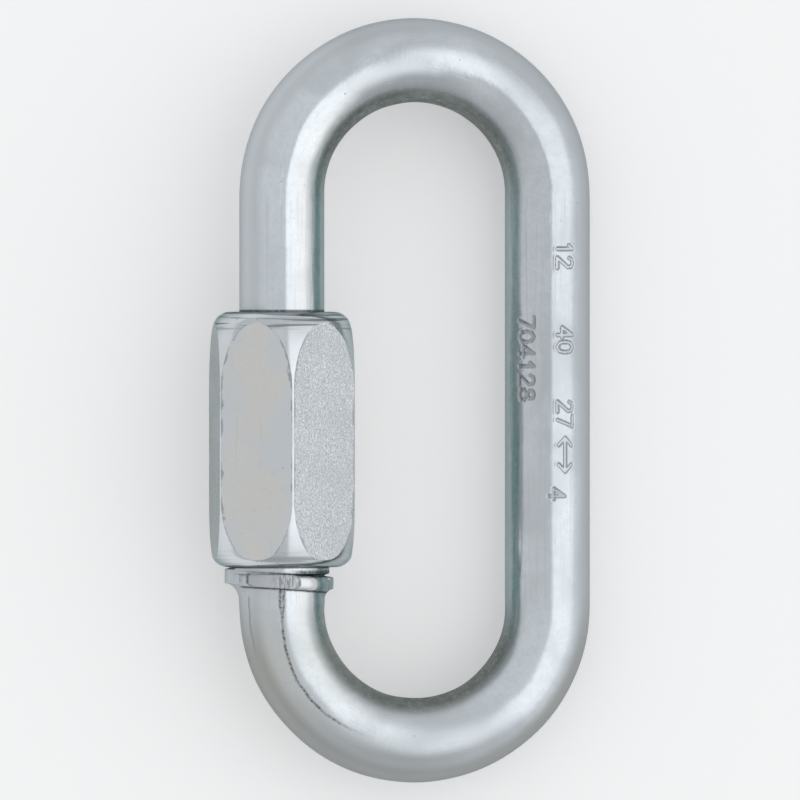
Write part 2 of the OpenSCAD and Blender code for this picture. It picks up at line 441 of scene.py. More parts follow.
def bendBar(bm, upperFoot):
    # A ring of the bar's section is run along both legs and spun round both bows,
    # a short length at a time, because a spin slows down as its mesh grows
    angles = []
    for start, stop, steps in bar["around"]:
        angles += [radians(start + (stop - start) * k / steps) for k in range(steps)]
    ring = [Vector((-bar["legX"] - bar["radius"] * sin(a), lowerBowY + upperFoot, bar["radius"] * cos(a)))
            for a in angles]

    def sweep(ring, steps, hub=(0, 0, 0), turn=0.0, shift=0.0):
        hub = Vector(hub)
        while steps > 0:
            count = min(steps, bar["sweepSteps"])
            length = bmesh.new()
            verts = bmesh.ops.create_circle(length, segments=len(ring), radius=bar["radius"])["verts"]
            for v, co in zip(verts, ring):
                v.co = co
            bmesh.ops.spin(length, geom=verts + length.edges[:], cent=hub, axis=(0, 0, -1),
                           angle=turn * count, dvec=(0, shift, 0), steps=count)
            addMesh(bm, length)
            onwards = Matrix.Rotation(-turn * count, 3, "Z")
            ring = [hub + onwards @ (co - hub) + Vector((0, shift * count, 0)) for co in ring]
            steps -= count
        return ring

    def runTo(ring, y0, y1, step):
        steps = max(1, round(abs(y1 - y0) / step))
        return sweep(ring, steps, shift=(y1 - y0) / steps)

    def bend(ring, y, turn, steps):
        return sweep(ring, steps, hub=(0, y, 0), turn=radians(turn) / steps)

    stampTop, stampFoot = bar["stampRun"]
    collarFoot, collarTop = bar["collarRun"]
    seamTurn = bar["seamTurn"]
    seamLength = radians(180 - seamTurn) * bar["legX"]
    mouthTop = lowerBowY + upperFoot + bar["mouthRun"]
    ring = runTo(ring, lowerBowY + upperFoot, mouthTop, bar["mouthStep"])
    ring = runTo(ring, mouthTop, upperBowY, bar["legStep"])
    ring = bend(ring, upperBowY, 180, bar["bowSteps"])
    ring = runTo(ring, upperBowY, stampTop, bar["legStep"])
    ring = runTo(ring, stampTop, stampFoot, bar["stampStep"])
    ring = runTo(ring, stampFoot, lowerBowY, bar["legStep"])
    ring = bend(ring, lowerBowY, seamTurn, round(bar["bowSteps"] * seamTurn / 180))
    ring = bend(ring, lowerBowY, 180 - seamTurn, round(seamLength / bar["seamStep"]))
    ring = runTo(ring, lowerBowY, lowerBowY + collarFoot, bar["seamStep"])
    runTo(ring, lowerBowY + collarFoot, lowerBowY + collarTop, bar["collarStep"])
    bmesh.ops.remove_doubles(bm, verts=bm.verts, dist=near["ringWeld"])
    print("bar bent")


def sculptBar(bm):
    # Strikes the stamps, opens the seam and swages the collar, and notes where each mark lies
    marks = {name: bm.verts.layers.float.new(name) for name in ("stamp", "lens", "scuff", "grime")}
    lines = stampLines()
    for v in bm.verts:
        centre, run, angle = barPlace(v.co)
        arc = angle * bar["radius"]
        radius = bar["radius"]
        straight = abs(v.co.y) <= bar["legL"] / 2 + near["weld"]
        height = v.co.y - lowerBowY
        if straight and v.co.x > 0 and abs(angle) < stamps["halfTurn"]:
            struck, lip = stampCut(lines, v.co.y, arc)
            radius += stamps["lip"] * lip - stamps["depth"] * struck
            onWall = 4 * struck * (1 - struck)      # highest half way down a stroke's wall
            # painted shade on the strokes' walls, and a little on their floors
            v[marks["stamp"]] = clamp(onWall + stamps["floorStain"] * struck)
        if v.co.x > 0 or not straight:
            radius -= hollow(v.co, run, angle)
        onLowerBow = v.co.y < lowerBowY + near["weld"]
        belowSleeve = straight and v.co.x < 0 and height < bar["collarRun"][1] + near["weld"]
        if (onLowerBow and v.co.x < 0) or belowSleeve:
            radius -= seam["depth"] * seamCut(run, arc, height)
        if belowSleeve:
            # the collar's shape, and its painted shade lines as a mark
            swaged, v[marks["lens"]], v[marks["scuff"]], v[marks["grime"]] = collarForm(angle, height)
            radius += swaged - bar["radius"]
        # painted shadow ring on the bar just above the sleeve's upper mouth
        elif straight and v.co.x < 0:
            v[marks["grime"]] = ease(*bar["greaseRing"], height)
        v.co = centre + (v.co - centre) * (radius / bar["radius"])
    print("bar sculpted")


def unrollBar(bm):
    # UV in metres: run along the bar, and arc round it from the front
    unrolled = bm.loops.layers.uv.new("barRun")
    for face in bm.faces:
        faceAngle = barPlace(face.calc_center_median())[2]
        for loop in face.loops:
            _, run, angle = barPlace(loop.vert.co)
            angle += 2 * pi * round((faceAngle - angle) / (2 * pi))
            loop[unrolled].uv = (run * mm, angle * bar["radius"] * mm)


# Threaded ends of the bar at the gate, at heights above the lower bow
barEnds = {
    "neckR": 4.9,
    "neckTop": 4.9,
    "lowerTip": 10.1,
    "upperTip": 22.15,
    "tipR": 4.53,
    "trimFrom": (30.9, 31.3),   # the upper thread's crests are turned down beside the sleeve's plain mouth
    "trimR": 5.43,
    "runOut": (33.55, 34.56),   # where the upper thread's roots rise to the bar
    "upperFoot": 34.58,
    "material": 1,              # place in the link's list of materials
}


def lowerStub():
    e = barEnds

    def most(h):
        return min(thread["crestR"], e["neckR"] + max(h - e["neckTop"], 0), e["tipR"] + e["lowerTip"] - h)

    return threadWall(collar["seatTop"], e["lowerTip"], 0, lambda h: 0, most)


def upperStud():
    e = barEnds

    def least(h):
        return bar["radius"] * ease(*e["runOut"], h)

    def most(h):
        crest = thread["crestR"] + (e["trimR"] - thread["crestR"]) * ease(*e["trimFrom"], h)
        return min(crest, e["tipR"] + h - e["upperTip"], bar["radius"] + max(e["upperFoot"] - h, 0))

    return threadWall(e["upperTip"], e["upperFoot"], 0, least, most)


def makeLink(materials):
    bm = bmesh.new()
    bendBar(bm, barEnds["upperFoot"])
    sculptBar(bm)
    for end in (lowerStub(), upperStud()):
        for face in end.faces:
            face.material_index = barEnds["material"]
        addMesh(bm, end)
    for height in (collar["seatTop"], barEnds["upperFoot"]):
        bmesh.ops.bridge_loops(bm, edges=boundaryAt(bm, lowerBowY + height))
    for height in (barEnds["lowerTip"], barEnds["upperTip"]):
        tip = boundaryAt(bm, lowerBowY + height)
        bmesh.ops.edgeloop_fill(bm, edges=tip, mat_nr=barEnds["material"])
    unrollBar(bm)
    print("link: open edges", sum(not e.is_manifold for e in bm.edges))
    return finishPiece(bm, "linkBar", bar["creaseAngle"], materials)


# Long hexagon sleeve: a turned blank with six flats milled on it, threaded right through
sleeve = {
    "length": 30.0,
    "foot": 4.65,               # above the lower bow when closed
    "acrossFlats": 16.0,
    "cornerR": 9.1776,
    "lowerBarrel": (7.8, 0.2),  # length of the barrel curve, and how far it runs in below the flats
    "upperBarrel": (9.0, 0.45),
    "rimR": 2.0,
    "flatSteps": 18,
    "arcSteps": 12,
    "rimSteps": 9,
    "archSteps": 16,
    "archSpacing": 1.6,         # closer steps towards the top of an arch
    "barrelSteps": 26,
    "middleSteps": 14,
    "mouthR": 5.7,
    "mouthSlope": 0.55,
    "reliefFrom": (26.4, 26.8), # thread is bored away above this, beside the plain mouth
    "reliefR": 5.49,
    "sinkFrom": 29.15,
    "upperMouth": 29.9,
    "mouthEdge": 0.08,          # broken edge between a mouth and its rim
    "grainFlats": (1, 4),
    "satinMaterial": 1,         # places in the sleeve's list of materials, after the turned zinc
    "grainMaterial": 2,
    "threadMaterial": 3,
    "flatTurn": 0.3,            # degrees, slope and millimetres within which a face lies on a flat
    "flatSlope": 0.004,
    "flatNear": 0.01,
    "edgeFrom": (0.955, 1.0),   # share of half the flat where its edge starts
    "grimeReach": (0.26, 0.07), # grease and painted shadow line round each end face
    "turningReach": (2.6, 1.5), # turning lines on each rim
    "lowerTurning": 0.15,       # fainter on the lower one
    "creaseAngle": 9,
}


def barrelCurve(length, endStep, mouthR):
    # Half section of one end as (radius, distance from the end face). The barrel arc leaves the corner
    # diameter at a tangent, and the flats run out on the rim arc that rounds it off to the face.
    s = sleeve
    apothem = s["acrossFlats"] / 2
    drop = s["cornerR"] - (apothem - endStep)
    barrelR = (length ** 2 + drop ** 2) / (2 * drop)
    barrelX = s["cornerR"] - barrelR
    rimR = s["rimR"]
    rimX = barrelX + sqrt((barrelR - rimR) ** 2 - (length - rimR) ** 2)
    faceTurn = acos(clamp((mouthR + s["mouthEdge"] - rimX) / rimR))
    archTurn = acos((apothem - rimX) / rimR)
    rimTurn = asin((length - rimR) / (barrelR - rimR))
    rimEnd = rimR * (1 - sin(rimTurn))
    turns = [faceTurn + (archTurn - faceTurn) * k / s["rimSteps"] for k in range(s["rimSteps"])]
    shares = [(k / s["archSteps"]) ** s["archSpacing"] for k in range(s["archSteps"])]
    turns += [archTurn + (rimTurn - archTurn) * share for share in shares]
    points = [(rimX + rimR * cos(t), rimR * (1 - sin(t))) for t in turns]
    onBarrel = [rimEnd + (length - rimEnd) * k / s["barrelSteps"] for k in range(s["barrelSteps"])]
    return points + [(barrelX + sqrt(barrelR ** 2 - (length - d) ** 2), d) for d in onBarrel]


def blankProfile():
    # Half section of the whole blank as (radius, height above its foot)
    s = sleeve
    upperMouthR = s["reliefR"] + s["upperMouth"] - s["sinkFrom"]
    lower = barrelCurve(*s["lowerBarrel"], s["mouthR"])
    upper = [(r, s["length"] - d) for r, d in reversed(barrelCurve(*s["upperBarrel"], upperMouthR))]
    middleFrom, middleTo = s["lowerBarrel"][0], s["length"] - s["upperBarrel"][0]
    middle = [(s["cornerR"], middleFrom + (middleTo - middleFrom) * k / s["middleSteps"])
              for k in range(s["middleSteps"] + 1)]
    return lower + middle + upper


def millFlats(bm, firstFlat):
    # Each ring keeps its turned radius on the arcs and comes in to the flat between them
    s = sleeve
    apothem = s["acrossFlats"] / 2
    side = s["flatSteps"] + s["arcSteps"]
    names = ("flatEdge", "acrossFlat", "grime", "rimTurning")
    marks = {name: bm.verts.layers.float.new(name) for name in names}
    for v in bm.verts:
        blankR = hypot(v.co.x, v.co.y)
        step = round(atan2(v.co.y, v.co.x) / (2 * pi) * 6 * side) % (6 * side)
        flat, k = divmod(step, side)
        halfFlat = acos(apothem / blankR) if blankR > apothem + near["weld"] else 0
        if k <= s["flatSteps"]:
            across = sin((2 * k / s["flatSteps"] - 1) * pi / 2)     # closer steps towards the edges
            angle = halfFlat * across
            radius = min(apothem / cos(angle), blankR)
            v[marks["acrossFlat"]] = abs(across)
            v[marks["flatEdge"]] = ease(*s["edgeFrom"], abs(across))
        else:
            along = sin((2 * (k - s["flatSteps"]) / s["arcSteps"] - 1) * pi / 2)
            angle = pi / 6 + (pi / 6 - halfFlat) * along
            radius = blankR
        fromEnd = min(v.co.z - s["foot"], s["foot"] + s["length"] - v.co.z)
        # grease and painted shadow line round each end face
        v[marks["grime"]] = ease(*s["grimeReach"], fromEnd)
        v[marks["rimTurning"]] = ease(*s["turningReach"], fromEnd)
        if v.co.z < s["foot"] + s["length"] / 2:
            v[marks["rimTurning"]] *= s["lowerTurning"]
        angle += firstFlat + flat * pi / 3
        v.co.x = radius * cos(angle)
        v.co.y = radius * sin(angle)
    bmesh.ops.remove_doubles(bm, verts=bm.verts, dist=near["weld"])
    bmesh.ops.dissolve_degenerate(bm, edges=bm.edges, dist=near["cut"])


def sortFlats(bm, firstFlat):
    # Two opposite flats are grainy and the other four satin
    s = sleeve
    bmesh.ops.recalc_face_normals(bm, faces=bm.faces)
    for face in bm.faces:
        turn = (atan2(face.normal.y, face.normal.x) - firstFlat) / (pi / 3)
        flat = round(turn)
        middle = face.calc_center_median()
        away = atan2(middle.y, middle.x) - firstFlat - flat * pi / 3
        depth = hypot(middle.x, middle.y) * cos(away) - s["acrossFlats"] / 2
        inLine = abs(turn - flat) * 60 < s["flatTurn"] and abs(face.normal.z) < s["flatSlope"]
        if inLine and abs(depth) < s["flatNear"]:
            grainy = flat % 6 in s["grainFlats"]
            face.material_index = s["grainMaterial"] if grainy else s["satinMaterial"]


def boreSleeve():
    s = sleeve
    foot = s["foot"]

    def least(h):
        relief = s["reliefR"] * ease(*s["reliefFrom"], h - foot)
        return max(s["mouthR"] - (h - foot), relief, s["reliefR"] + h - foot - s["sinkFrom"])

    def most(h):
        return max(s["mouthR"] + (h - foot) * s["mouthSlope"], s["reliefR"] + h - foot - s["sinkFrom"])

    bore = threadWall(foot, foot + s["upperMouth"], thread["play"], least, most)
    for face in bore.faces:
        face.material_index = s["threadMaterial"]
    return bore


def makeSleeve(materials):
    s = sleeve
    bm = bmesh.new()
    section = blankProfile()
    profile = [bm.verts.new((r, 0, z + s["foot"])) for r, z in section]
    edges = [bm.edges.new(pair) for pair in zip(profile, profile[1:])]
    bmesh.ops.spin(bm, geom=profile + edges, axis=(0, 0, 1), angle=2 * pi,
                   steps=6 * (s["flatSteps"] + s["arcSteps"]), use_merge=True)
    flatAxis = Vector(mounts["spanner_flat_upper"]["axis"])
    firstFlat = atan2(flatAxis.x, flatAxis.z) - tilt - pi / 2
    millFlats(bm, firstFlat)
    sortFlats(bm, firstFlat)
    bmesh.ops.transform(bm, matrix=onLeftLeg, verts=bm.verts)
    print("sleeve: flats milled")
    addMesh(bm, boreSleeve())
    lowY = lowerBowY + s["foot"]
    upperRim = boundaryAt(bm, lowY + section[-1][1])
    bmesh.ops.bridge_loops(bm, edges=boundaryAt(bm, lowY))
    bmesh.ops.bridge_loops(bm, edges=upperRim + boundaryAt(bm, lowY + s["upperMouth"]))
    print("sleeve: open edges", sum(not e.is_manifold for e in bm.edges))
    return finishPiece(bm, "sleeveNut", s["creaseAngle"], materials)


def wire(tree, value, socket):
    if isinstance(value, bpy.types.NodeSocket):
        tree.links.new(value, socket)
    else:
        socket.default_value = value


def addNode(tree, kind, inputs=None, **settings):
    node = tree.nodes.new("ShaderNode" + kind)
    for name, value in settings.items():
        setattr(node, name, value)
    for name, value in (inputs or {}).items():
        wire(tree, value, node.inputs[name])
    return node


def maths(tree, operation, a, b=0.0, c=0.0):
    return addNode(tree, "Math", {0: a, 1: b, 2: c}, operation=operation).outputs[0]


def times(tree, value, *shares):
    for share in shares:
        value = maths(tree, "MULTIPLY", value, share)
    return value


def plus(tree, base, value, share=1.0):
    return maths(tree, "MULTIPLY_ADD", value, share, base)


def distance(tree, a, b):
    return maths(tree, "ABSOLUTE", maths(tree, "SUBTRACT", a, b))


def spread(tree, value, low, high, to=(0.0, 1.0)):
    node = addNode(tree, "MapRange", {"Value": value, "From Min": low, "From Max": high, "To Min": to[0],
                                      "To Max": to[1]}, interpolation_type="SMOOTHSTEP")
    return node.outputs["Result"]


def over(tree, amount, under, top, blend="MIX"):
    # Colour with another one laid over it
    node = addNode(tree, "Mix", {0: amount, 6: under, 7: top}, data_type="RGBA", blend_type=blend)
    return node.outputs[2]


def cloud(tree, place, scale, detail=2.0, stretch=(1, 1, 1), turn=0.0, warp=0.0):
    # Noise with grains of about 1 / scale metres, turned by degrees about Z
    mapped = addNode(tree, "Mapping", {"Vector": place, "Scale": stretch, "Rotation": (0, 0, radians(turn))})
    node = addNode(tree, "TexNoise", {"Vector": mapped.outputs[0], "Scale": scale, "Detail": detail,
                                      "Distortion": warp})
    return node.outputs["Fac"]


def wander(tree, place, grain):
    # A cloud that goes as far down as up
    return maths(tree, "SUBTRACT", cloud(tree, place, **grain), 0.5)


def mark(tree, name):
    return addNode(tree, "Attribute", attribute_name=name).outputs["Fac"]


def pits(tree, place, scale, size, some=(0.62, 0.72)):
    # Round spots, one to a cell of about 1 / scale metres and only in some cells
    node = addNode(tree, "TexVoronoi", {"Vector": place, "Scale": scale, "Randomness": 1.0})
    draw = addNode(tree, "SeparateColor", {"Color": node.outputs["Color"]}).outputs[0]
    spot = spread(tree, node.outputs["Distance"], size, size / 2)
    return times(tree, spot, spread(tree, draw, *some))


def newMetal(name, limb):
    # The limb colour is what the plate shows at a glancing angle
    material = bpy.data.materials.new(name)
    material.use_nodes = True
    shader = material.node_tree.nodes["Principled BSDF"]
    shader.inputs["Metallic"].default_value = 1
    shader.inputs["Specular Tint"].default_value = (*limb, 1)
    return material, material.node_tree, shader


def dress(tree, shader, colour, rough, heights, depths):
    # Bump comes in layers, with depths in millimetres
    tree.links.new(colour, shader.inputs["Base Color"])
    tree.links.new(rough, shader.inputs["Roughness"])
    normal = None
    for name, depth in depths.items():
        node = addNode(tree, "Bump", {"Height": heights[name], "Strength": 1.0, "Distance": depth * mm})
        if normal:
            tree.links.new(normal, node.inputs["Normal"])
        normal = node.outputs[0]
    tree.links.new(normal, shader.inputs["Normal"])


# Zinc plate of the bar. X, Y and runs are in metres and turns in degrees outwards from the front.
# Two limits say where something starts and is full, and a pair after them the values it goes between.
barFinish = {
    "limb": (0.61, 0.63, 0.64),
    "bright": (0.72, 0.768, 0.807, 1),
    "dull": (0.585, 0.625, 0.655, 1),
    "clouds": {"scale": 95, "detail": 4, "warp": 0.6},
    "cloudDull": (0.36, 0.68),
    "drawn": {"scale": 1.0, "detail": 4, "stretch": (70, 2600, 1)},     # lines that the drawing left
    "drawnDull": (0.48, 0.74, (0, 0.85)),
    "drawnShare": (1.0, 0.35),              # on the legs, and in the bows
    "mottle": {"scale": 900, "detail": 3, "warp": 0.4},
    "mottleDull": (0.4, 0.7, (0, 0.3)),
    "speckle": {"scale": 2600, "detail": 3},
    "speckleDull": (0.48, 0.72, (0, 0.3)),
    "grainShare": (1.0, 1.2),
    "waves": {"scale": 330, "detail": 1},
    "bowY": (0.021, 0.031),                 # where the finish of the legs goes over to that of the bows
    "bareLeg": (0.86, 0.86, 0.86, 1),       # painted shade: the bare leg is darker, most of all above its middle
    "bareLegX": (0.007, 0.014),
    "bareLegY": (-0.02, 0.02, (0.4, 1.0)),
    "underCollar": (0.86, 0.865, 0.855, 1), # painted shade, darker on the lower bow under the collar too
    "underCollarX": (0.0, -0.013),
    "olive": (0.605, 0.617, 0.59, 1),       # stain outside the lower bow, under the collar
    "oliveX": (-0.008, -0.015),
    "stain": (0.585, 0.617, 0.632, 1),      # bluer further round it
    "stainX": (0.014, 0.002),
    "stainTurn": (-8, 30),
    "stainPatches": (0.15, 0.5),
    "whiter": (1.03, 0.995, 0.965, 1),      # painted highlight tint: whiter highlight towards the eye, on the leg with the sleeve
    "whiterX": (0.0, -0.010),
    "whiterTurn": (-2, -14),
    "teal": (0.25, 0.38, 0.387, 1),         # painted shade and reflection on the flank inside the eye, on the legs
    "tealTurn": (-46, -54),
    "tealX": (-0.013, 0.013, (-8, 2)),      # degrees that it is turned by, from one leg to the other
    "tealLines": {"scale": 1.0, "detail": 3, "stretch": (80, 1100, 1)},
    "tealWander": 2.2,
    "tealGrey": (0.305, 0.385, 0.395, 1),   # high up on the bare leg
    "tealGreyShare": (0.5, 1.0),
    "tealRim": (0.42, 0.51, 0.52, 1),
    "tealRimTurn": (-60, -68),
    "bowInside": (0.205, 0.224, 0.205, 1),  # painted shade and reflection on the same flank inside the bows
    "bowInsideLow": (0.345, 0.376, 0.344, 1),
    "bowInsideTurn": (-30, -60),
    "bowInsideX": (-0.012, 0.016, (-8, 3)),
    "insideMottle": (0.3, 0.65, (0.86, 1.0)),
    "insideSpeckle": (0.54, 0.72, (1.0, 0.7)),
    "flank": (0.49, 0.523, 0.547, 1),       # and, less so, painted shade on the flank outside
    "flankTurn": (29, 52),
    "flankLeft": (0.575, 0.613, 0.64, 1),
    "flankLeftX": (-0.004, -0.012),
    "flankLow": (0.408, 0.425, 0.425, 1),
    "flankOlive": (0.42, 0.425, 0.41, 1),
    "backTurn": (150, 105),                 # the painted flank shade fades again towards the back
    "dieLineTurn": 57,                      # faint line beside the collar, on the outside
    "dieLineRun": ((0.0682, 0.0705), (0.0752, 0.0747)),
    "dieLineWander": 0.5,
    "dieLineWidth": (0.22, 0.06),
    "dieLineShare": (0, 0.8),
    "pit": (0.34, 0.36, 0.37, 1),
    "pits": (1100, 0.12),
    "pitAreas": {"scale": 160, "detail": 2},
    "pitted": (0.5, 0.66),
    "scratches": {"scale": 1.0, "detail": 2, "stretch": (160, 3400, 1), "turn": 24},
    "scratched": (0.67, 0.74),
    "scratchDepth": 0.4,
    "lens": (0.575, 0.585, 0.605, 1),
    "lensShare": 0.85,
    "scuffs": {"scale": 1.0, "detail": 2, "stretch": (1000, 3600, 1), "turn": 28},
    "scuffed": (0.47, 0.56),
    "scuffShare": 0.8,
    # painted shade on the stamps' walls; also the colour of the die line and the scuffs
    "stamp": (0.31, 0.335, 0.35, 1),
    "stampShare": 0.85,
    "seam": (0.17, 0.175, 0.17, 1),
    # painted shade lines at the collar and just above the sleeve, broken up by crumbs
    "grime": (0.085, 0.105, 0.11, 1),
    "crumbs": {"scale": 2600, "detail": 4},
    "crumbled": (0.4, 0.62),
    "seamCrumbs": (0.5, 1.0),
    "grimeCrumbs": (0.75, 1.0),
    "cloudRough": (0.3, 0.7, (0.13, 0.19)),
    "drawnRough": (0.4, 0.8, (0.0, 0.06)),
    "satinTurn": (22, 42),
    "flankRough": 0.25,
    "lowerBowRough": 0.09,
    "lensRough": 0.13,
    "grimeRough": 0.35,
    "bumps": {"waves": 0.014, "mottle": 0.008, "drawn": 0.0032, "grain": 0.006, "sunk": 0.02},
}


def turnedTo(*turns):
    # Arcs round the bar in metres, from the front outwards
    return [radians(d) * bar["radius"] * mm for d in turns]


def bowRun(*turns):
    # Runs along the bar in metres, from the start of the lower bow
    return [(bar["legL"] / 2 + radians(d) * bar["legX"]) * mm for d in turns]


def collarRun(*heights):
    # Runs along the bar in metres, from the end of the lower bow
    return [(bar["legL"] / 2 + pi * bar["legX"] + h) * mm for h in heights]


def barPatterns(tree):
    # Places on the bar, and the noises that its finish is made of
    f = barFinish
    place = addNode(tree, "TexCoord").outputs["Object"]
    run = addNode(tree, "UVMap", uv_map="barRun").outputs[0]
    spot = addNode(tree, "SeparateXYZ", {0: place}).outputs
    unrolled = addNode(tree, "SeparateXYZ", {0: run}).outputs
    p = {"run": run, "x": spot["X"], "y": spot["Y"], "along": unrolled["X"], "arc": unrolled["Y"]}
    p["bows"] = spread(tree, maths(tree, "ABSOLUTE", p["y"]), *f["bowY"])
    p["lowerBow"] = times(tree, p["bows"], maths(tree, "LESS_THAN", p["y"], 0.0))
    p["bareLeg"] = times(tree, spread(tree, p["x"], *f["bareLegX"]), spread(tree, p["y"], *f["bareLegY"]))
    p["underCollar"] = times(tree, p["lowerBow"], spread(tree, p["x"], *f["underCollarX"]))
    p["olive"] = times(tree, p["lowerBow"], spread(tree, p["x"], *f["oliveX"]))
    p["back"] = spread(tree, maths(tree, "ABSOLUTE", p["arc"]), *turnedTo(*f["backTurn"]))
    for name in ("clouds", "mottle", "speckle", "waves"):
        p[name] = cloud(tree, place, **f[name])
    p["drawn"] = times(tree, cloud(tree, run, **f["drawn"]), spread(tree, p["bows"], 0, 1, f["drawnShare"]))
    p["grain"] = times(tree, p["speckle"], spread(tree, p["bows"], 0, 1, f["grainShare"]))
    pitAreas = spread(tree, cloud(tree, place, **f["pitAreas"]), *f["pitted"])
    p["pitted"] = times(tree, pits(tree, place, *f["pits"]), pitAreas)
    p["scratch"] = spread(tree, cloud(tree, run, **f["scratches"]), *f["scratched"])
    scuffs = spread(tree, cloud(tree, run, **f["scuffs"]), *f["scuffed"])
    p["scuffed"] = times(tree, scuffs, mark(tree, "scuff"))
    p["crumbs"] = spread(tree, cloud(tree, place, **f["crumbs"]), *f["crumbled"])
    return p


def plateColour(tree, p):
    # Bright and dull plate, with painted shade and a painted highlight tint in places, and stained in places
    f = barFinish
    colour = over(tree, spread(tree, p["clouds"], *f["cloudDull"]), f["bright"], f["dull"])
    for name in ("drawn", "mottle", "speckle"):
        colour = over(tree, spread(tree, p[name], *f[name + "Dull"]), colour, f["dull"])
    # painted shade: darker on the bare leg and on the lower bow under the collar
    for name in ("bareLeg", "underCollar"):
        colour = over(tree, p[name], colour, f[name], "MULTIPLY")
    stained = times(tree, p["lowerBow"], spread(tree, p["x"], *f["stainX"]),
                    spread(tree, p["arc"], *turnedTo(*f["stainTurn"])),
                    spread(tree, p["clouds"], *f["stainPatches"]))
    colour = over(tree, stained, colour, over(tree, p["olive"], f["stain"], f["olive"]))
    # painted highlight tint: whiter, more neutral highlight towards the eye, on the leg with the sleeve
    whiter = times(tree, spread(tree, p["x"], *f["whiterX"]),
                   spread(tree, p["arc"], *turnedTo(*f["whiterTurn"])))
    return over(tree, whiter, colour, f["whiter"], "MULTIPLY")


def shiftedArc(tree, p, fromX, toX, turns):
    return maths(tree, "ADD", p["arc"], spread(tree, p["x"], fromX, toX, turnedTo(*turns)))


def flankColours(tree, p, colour):
    # Painted shade and reflection on the flanks, inside the eye and outside, and how much of a spot is the
    # inner one
    f = barFinish
    legArc = shiftedArc(tree, p, *f["tealX"])
    legArc = plus(tree, legArc, wander(tree, p["run"], f["tealLines"]), f["tealWander"] * mm)
    onLegs = spread(tree, legArc, *turnedTo(*f["tealTurn"]))
    onBows = spread(tree, shiftedArc(tree, p, *f["bowInsideX"]), *turnedTo(*f["bowInsideTurn"]))
    inside = plus(tree, onLegs, p["bows"], maths(tree, "SUBTRACT", onBows, onLegs))
    inside = times(tree, inside, p["back"], spread(tree, p["mottle"], *f["insideMottle"]),
                   spread(tree, p["speckle"], *f["insideSpeckle"]))
    teal = over(tree, spread(tree, p["bareLeg"], *f["tealGreyShare"]), f["teal"], f["tealGrey"])
    teal = over(tree, spread(tree, legArc, *turnedTo(*f["tealRimTurn"])), teal, f["tealRim"])
    bowInside = over(tree, p["underCollar"], f["bowInside"], f["bowInsideLow"])
    # painted shade and reflection on the flank inside the eye
    colour = over(tree, inside, colour, over(tree, p["bows"], teal, bowInside))
    # painted shade on the outer flanks
    outside = times(tree, spread(tree, p["arc"], *turnedTo(*f["flankTurn"])), p["back"])
    flank = over(tree, spread(tree, p["x"], *f["flankLeftX"]), f["flank"], f["flankLeft"])
    flankLow = over(tree, p["olive"], f["flankLow"], f["flankOlive"])
    return over(tree, outside, colour, over(tree, p["lowerBow"], flank, flankLow)), inside


def dieLine(tree, p):
    f = barFinish
    ripple = maths(tree, "SUBTRACT", p["waves"], 0.5)
    off = maths(tree, "SUBTRACT", p["arc"], *turnedTo(f["dieLineTurn"]))
    off = maths(tree, "ABSOLUTE", plus(tree, off, ripple, f["dieLineWander"] * mm))
    line = spread(tree, off, *[w * mm for w in f["dieLineWidth"]], f["dieLineShare"])
    return times(tree, line, *[spread(tree, p["along"], *reach) for reach in f["dieLineRun"]])


def seamLine(tree, p):
    # Dark line in the seam's groove, double under the collar
    along = p["along"]
    bulge = times(tree, spread(tree, along, *bowRun(*seam["bulgeFrom"])),
                  spread(tree, along, *bowRun(*seam["bulgeTo"])))
    seamAt = maths(tree, "MULTIPLY_ADD", bulge, *turnedTo(seam["bulge"], seam["turn"]))
    off = plus(tree, p["arc"], wander(tree, p["run"], seam["lineGrain"]), seam["lineWander"] * mm)
    twin = spread(tree, along, *collarRun(*seam["twinHeight"]), (0.0, seam["twinGap"] * mm))
    off = distance(tree, distance(tree, off, seamAt), twin)
    line = spread(tree, off, *[w * mm for w in seam["lineWidth"]])
    return times(tree, line, spread(tree, along, *bowRun(*seam["fadeTurn"])),
                 spread(tree, along, *collarRun(*seam["topHeight"])),
                 spread(tree, p["crumbs"], 0, 1, barFinish["seamCrumbs"]))


def barZincFinish():
    f = barFinish
    material, tree, shader = newMetal("barZinc", f["limb"])
    p = barPatterns(tree)
    lens = mark(tree, "lens")
    seamed = seamLine(tree, p)
    # painted shade lines at the collar and just above the sleeve, broken up a little
    grimy = times(tree, mark(tree, "grime"), spread(tree, p["crumbs"], 0, 1, f["grimeCrumbs"]))
    # the flanks' painted shade and reflection over the plate's colour
    colour, inside = flankColours(tree, p, plateColour(tree, p))
    colour = over(tree, dieLine(tree, p), colour, f["stamp"])
    colour = over(tree, p["pitted"], colour, f["pit"])
    colour = over(tree, times(tree, lens, f["lensShare"]), colour, f["lens"])
    colour = over(tree, times(tree, p["scuffed"], f["scuffShare"]), colour, f["stamp"])
    # painted shade on the stamps' walls
    colour = over(tree, times(tree, mark(tree, "stamp"), f["stampShare"]), colour, f["stamp"])
    colour = over(tree, seamed, colour, f["seam"])
    # painted shade lines at the collar and just above the sleeve
    colour = over(tree, grimy, colour, f["grime"])

    rough = spread(tree, p["clouds"], *f["cloudRough"])
    rough = maths(tree, "ADD", rough, spread(tree, p["drawn"], *f["drawnRough"]))
    satin = times(tree, spread(tree, p["arc"], *turnedTo(*f["satinTurn"])), p["back"])
    rough = plus(tree, rough, maths(tree, "MAXIMUM", inside, satin), f["flankRough"])
    rough = plus(tree, rough, p["lowerBow"], f["lowerBowRough"])
    rough = plus(tree, rough, lens, f["lensRough"])
    rough = plus(tree, rough, maths(tree, "MAXIMUM", seamed, grimy), f["grimeRough"])
    sunk = plus(tree, times(tree, p["pitted"], -1.0), p["scratch"], -f["scratchDepth"])
    heights = {**p, "sunk": maths(tree, "SUBTRACT", sunk, p["scuffed"])}
    dress(tree, shader, colour, rough, heights, f["bumps"])
    return material


